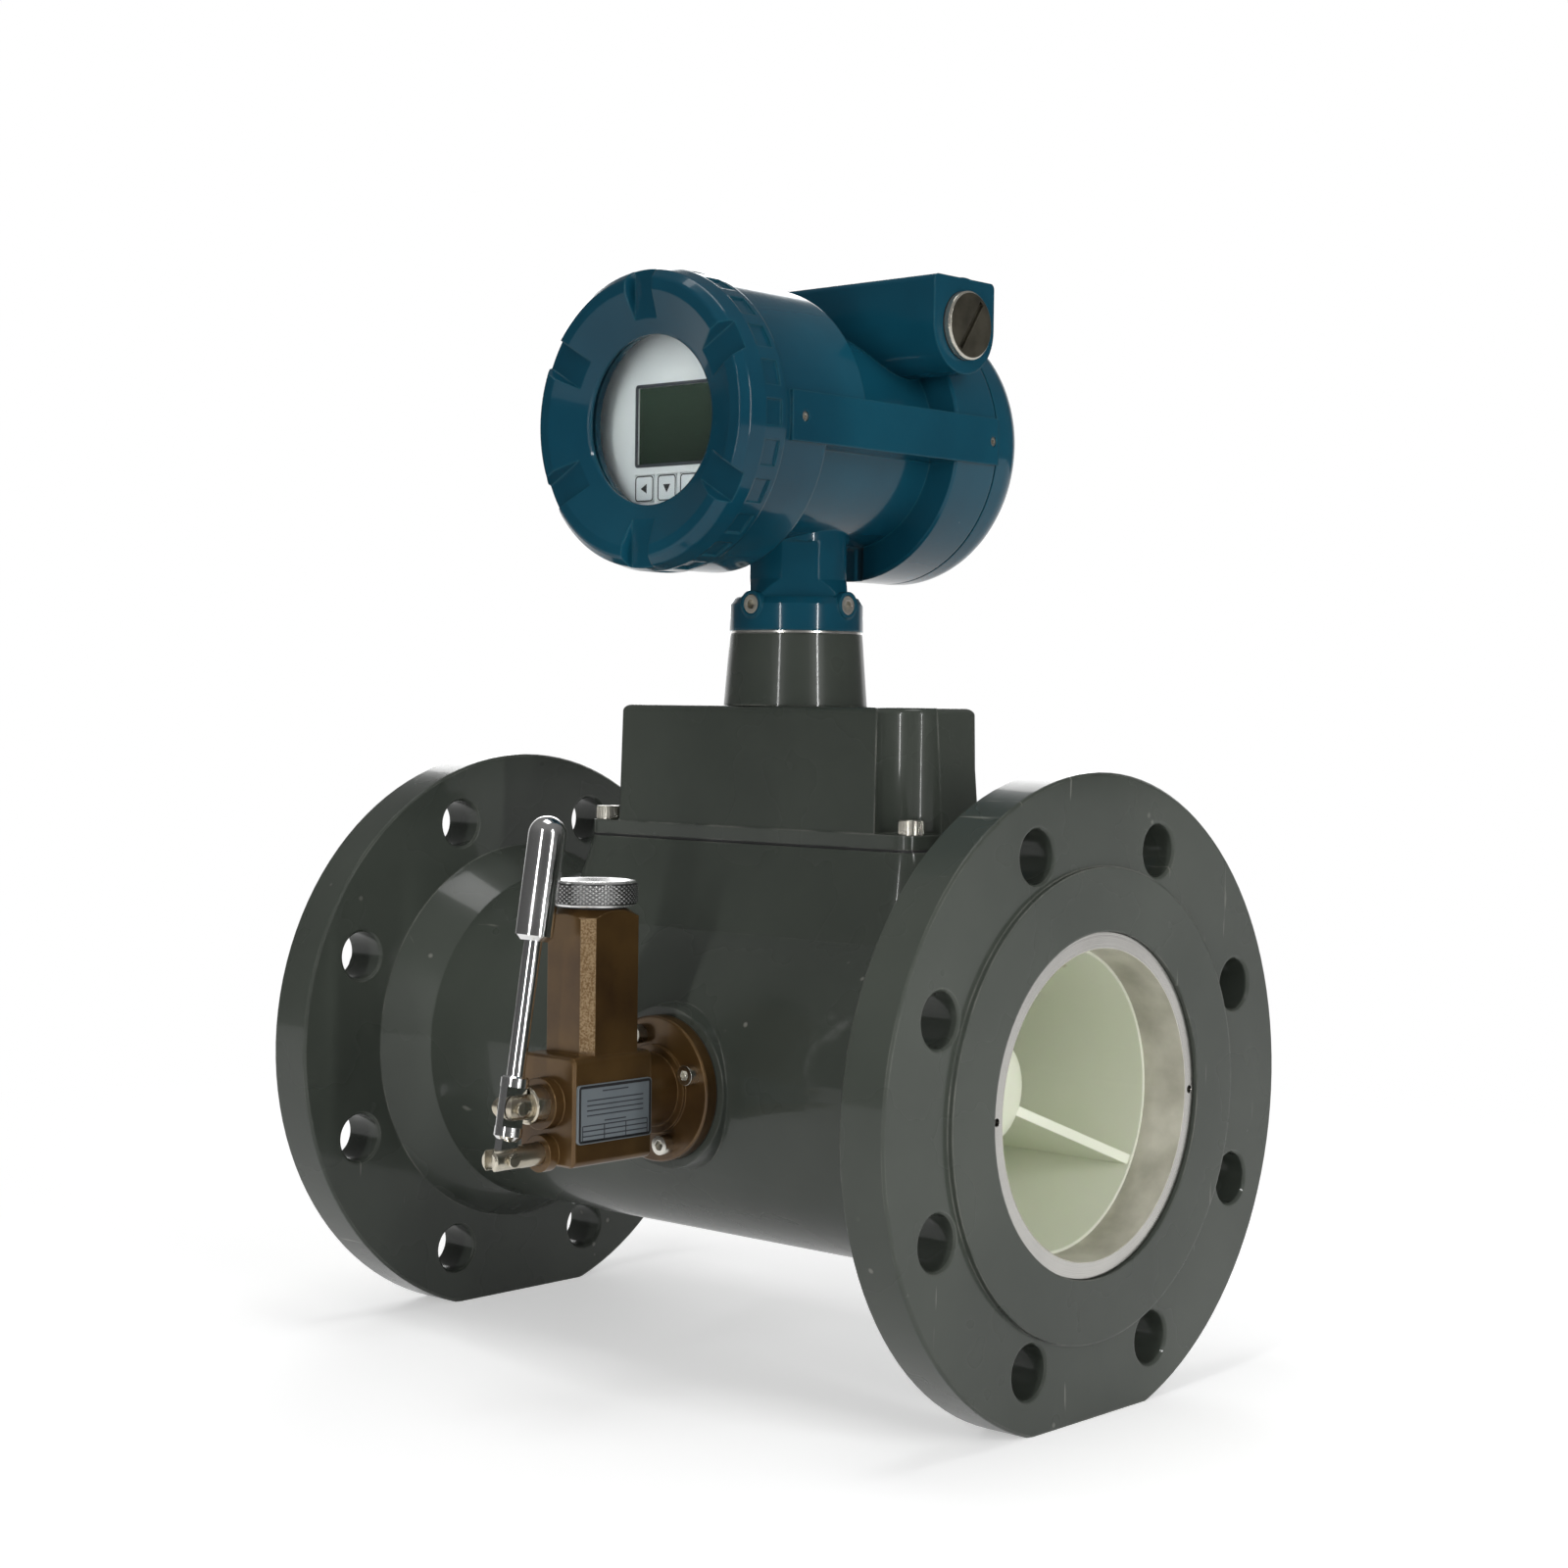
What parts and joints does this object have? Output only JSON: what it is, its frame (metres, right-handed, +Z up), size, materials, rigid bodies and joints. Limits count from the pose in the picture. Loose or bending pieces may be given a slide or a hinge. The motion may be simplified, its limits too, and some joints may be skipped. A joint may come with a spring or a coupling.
{
  "type": "turbine gas meter",
  "caption": "Flanged turbine gas meter with a turning rotor, a swivelling display head, a junction box and a hand-lever oil pump.",
  "frame": {"origin": "centre of the inlet flange's sealing face, on the pipe axis", "axes": "+X along the flow to the outlet, -Y towards the display and the pump, +Z up"},
  "size_m": [0.3, 0.2566, 0.3872],
  "materials": {
    "bearing_steel": "polished",
    "board_green": "matt",
    "body_paint": "satin",
    "cap_aluminium": "turned",
    "frame_plastic": "matt",
    "guide_plastic": "satin",
    "head_paint": "gloss",
    "key_plastic": "satin",
    "lever_chrome": "polished",
    "machined_steel": "machined",
    "panel_plastic": "satin",
    "plate_metal": "satin",
    "plug_metal": "satin",
    "pump_bronze": "satin, tinted coating",
    "rotor_aluminium": "satin",
    "screen_glass": "gloss",
    "screw_steel": "bright",
    "seal_rubber": "matt",
    "stem_nickel": "satin",
    "tube_brass": "satin",
    "window_glass": "clear"
  },
  "bodies": {
    "meter": {"meter_body": "body_paint", "inlet_retaining_ring": "machined_steel", "outlet_retaining_ring": "machined_steel", "inlet_straightener": "guide_plastic", "outlet_guide": "guide_plastic", "bearing_sleeve": "machined_steel", "front_bearing": "bearing_steel", "rear_bearing": "bearing_steel", "oil_tube": "tube_brass", "pickup_sensor": "machined_steel", "temperature_probe": "machined_steel", "pressure_sensor": "machined_steel", "box_gasket": "seal_rubber", "junction_box": "body_paint", "box_screws": "screw_steel", "neck_adapter": "body_paint", "neck_ring": "bearing_steel", "pump_gasket": "seal_rubber", "pump_body": "pump_bronze", "pump_screws": "screw_steel", "nameplate": "plate_metal", "outlet_valve": "machined_steel", "stem_packing": "seal_rubber", "gland_nut": "stem_nickel", "fulcrum_rod": "stem_nickel", "fulcrum_pin": "stem_nickel"},
    "turbine": {"rotor": "rotor_aluminium", "rotor_shaft": "machined_steel", "rotor_nut": "machined_steel"},
    "head": {"head_housing": "head_paint", "clamp_screws": "screw_steel", "lock_screws": "screw_steel", "display_panel": "panel_plastic", "display_frame": "frame_plastic", "screen": "screen_glass", "main_board": "board_green", "terminal_block": "frame_plastic"},
    "front_seal": {"front_cover_seal": "seal_rubber"},
    "window_cover": {"front_cover": "head_paint", "front_glass": "window_glass", "glass_retainer": "head_paint"},
    "rear_seal": {"rear_cover_seal": "seal_rubber"},
    "back_cover": {"rear_cover": "head_paint"},
    "left_washer": {"left_plug_washer": "seal_rubber"},
    "left_entry_plug": {"left_plug": "plug_metal"},
    "right_washer": {"right_plug_washer": "seal_rubber"},
    "right_entry_plug": {"right_plug": "plug_metal"},
    "left_key": {"key_left": "key_plastic"},
    "down_key": {"key_down": "key_plastic"},
    "up_key": {"key_up": "key_plastic"},
    "enter_key": {"key_enter": "key_plastic"},
    "cap_seal": {"cap_gasket": "seal_rubber"},
    "filler_cap": {"reservoir_cap": "cap_aluminium"},
    "hand_lever": {"lever": "lever_chrome", "lever_grip": "lever_chrome"},
    "plunger": {"pump_stem": "stem_nickel", "stem_pin": "stem_nickel"}
  },
  "joints": [
    {"name": "rotor_spin", "type": "hinge", "parent": "meter", "child": "turbine", "pos_m": [0.1535, 0, 0], "axis": [1, 0, 0], "continuous": true},
    {"name": "head_swivel", "type": "hinge", "parent": "meter", "child": "head", "pos_m": [0.1625, 0, 0.165], "axis": [0, 0, 1], "range_deg": [-170, 170]},
    {"name": "front_cover_travel", "type": "slide", "parent": "head", "child": "front_seal", "axis": [0, -1, 0], "range_m": [0, 0.01002]},
    {"name": "front_cover_turn", "type": "hinge", "parent": "front_seal", "child": "window_cover", "pos_m": [0.1625, -0.07, 0.2274], "axis": [0, -1, 0], "range_deg": [0, 1800]},
    {"name": "rear_cover_travel", "type": "slide", "parent": "head", "child": "rear_seal", "axis": [0, 1, 0], "range_m": [0, 0.01002]},
    {"name": "rear_cover_turn", "type": "hinge", "parent": "rear_seal", "child": "back_cover", "pos_m": [0.1625, 0.055, 0.2274], "axis": [0, 1, 0], "range_deg": [0, 1800]},
    {"name": "left_plug_travel", "type": "slide", "parent": "head", "child": "left_washer", "axis": [-1, 0, 0], "range_m": [0, 0.01502]},
    {"name": "left_plug_turn", "type": "hinge", "parent": "left_washer", "child": "left_entry_plug", "pos_m": [0.105, 0.0225, 0.2657], "axis": [-1, 0, 0], "range_deg": [0, 3600]},
    {"name": "right_plug_travel", "type": "slide", "parent": "head", "child": "right_washer", "axis": [1, 0, 0], "range_m": [0, 0.01502]},
    {"name": "right_plug_turn", "type": "hinge", "parent": "right_washer", "child": "right_entry_plug", "pos_m": [0.22, 0.0225, 0.2657], "axis": [1, 0, 0], "range_deg": [0, 3600]},
    {"name": "filler_cap_travel", "type": "slide", "parent": "meter", "child": "cap_seal", "axis": [0, 0, 1], "range_m": [0, 0.00752]},
    {"name": "filler_cap_turn", "type": "hinge", "parent": "cap_seal", "child": "filler_cap", "pos_m": [0.1625, -0.1005, 0.062], "axis": [0, 0, 1], "range_deg": [0, 1800]},
    {"name": "left_key_press", "type": "slide", "parent": "head", "child": "left_key", "axis": [0, 1, 0], "range_m": [0, 0.0005], "stiffness_N_per_m": 1500, "springref_m": -0.0003},
    {"name": "down_key_press", "type": "slide", "parent": "head", "child": "down_key", "axis": [0, 1, 0], "range_m": [0, 0.0005], "stiffness_N_per_m": 1500, "springref_m": -0.0003},
    {"name": "up_key_press", "type": "slide", "parent": "head", "child": "up_key", "axis": [0, 1, 0], "range_m": [0, 0.0005], "stiffness_N_per_m": 1500, "springref_m": -0.0003},
    {"name": "enter_key_press", "type": "slide", "parent": "head", "child": "enter_key", "axis": [0, 1, 0], "range_m": [0, 0.0005], "stiffness_N_per_m": 1500, "springref_m": -0.0003},
    {"name": "lever_swing", "type": "hinge", "parent": "meter", "child": "hand_lever", "pos_m": [0.1625, -0.1396, -0.0183], "axis": [1, 0, 0], "range_deg": [0, 34]},
    {"name": "plunger_slide", "type": "slide", "parent": "meter", "child": "plunger", "axis": [0, -1, 0], "range_m": [0, 0.0103]}
  ],
  "couplings": [
    {"joint": "front_cover_travel", "follows": "front_cover_turn", "m_per_rad": 0.00031831},
    {"joint": "rear_cover_travel", "follows": "rear_cover_turn", "m_per_rad": 0.00031831},
    {"joint": "left_plug_travel", "follows": "left_plug_turn", "m_per_rad": 0.00023873},
    {"joint": "right_plug_travel", "follows": "right_plug_turn", "m_per_rad": 0.00023873},
    {"joint": "filler_cap_travel", "follows": "filler_cap_turn", "m_per_rad": 0.00023873},
    {"joint": "plunger_slide", "follows": "lever_swing", "m_per_rad": 0.0172}
  ]
}
